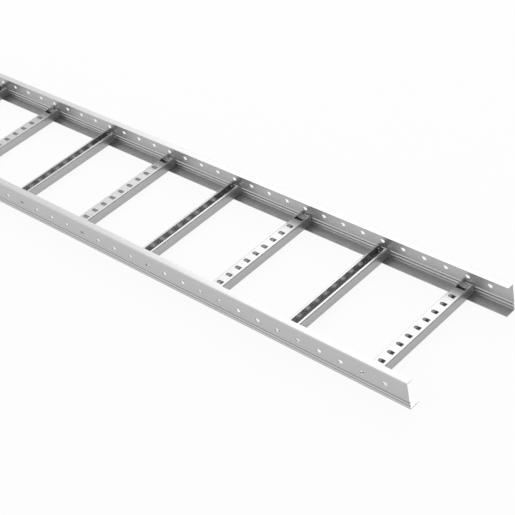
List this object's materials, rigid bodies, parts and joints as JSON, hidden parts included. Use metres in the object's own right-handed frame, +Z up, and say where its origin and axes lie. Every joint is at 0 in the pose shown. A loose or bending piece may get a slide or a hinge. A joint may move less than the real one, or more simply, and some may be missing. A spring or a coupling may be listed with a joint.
{
  "type": "cable ladder",
  "caption": "Straight cable ladder section: two slotted side rails with stiffening grooves, joined by slotted C-profile rungs turned alternately face up and open side up.",
  "frame": {"origin": "on the rest plane, under the middle of the section", "axes": "+X along the ladder, +Y across it, +Z up"},
  "size_m": [3, 0.3, 0.06],
  "materials": {
    "rail_steel": "zinc-coated sheet steel, satin",
    "rung_steel": "zinc-coated sheet steel, satin"
  },
  "bodies": {
    "root": {"left_rail": "rail_steel", "right_rail": "rail_steel", "rung_01": "rung_steel", "rung_02": "rung_steel", "rung_03": "rung_steel", "rung_04": "rung_steel", "rung_05": "rung_steel", "rung_06": "rung_steel", "rung_07": "rung_steel", "rung_08": "rung_steel", "rung_09": "rung_steel", "rung_10": "rung_steel", "rung_11": "rung_steel", "rung_12": "rung_steel", "rung_13": "rung_steel", "rung_14": "rung_steel", "rung_15": "rung_steel"}
  },
  "joints": []
}
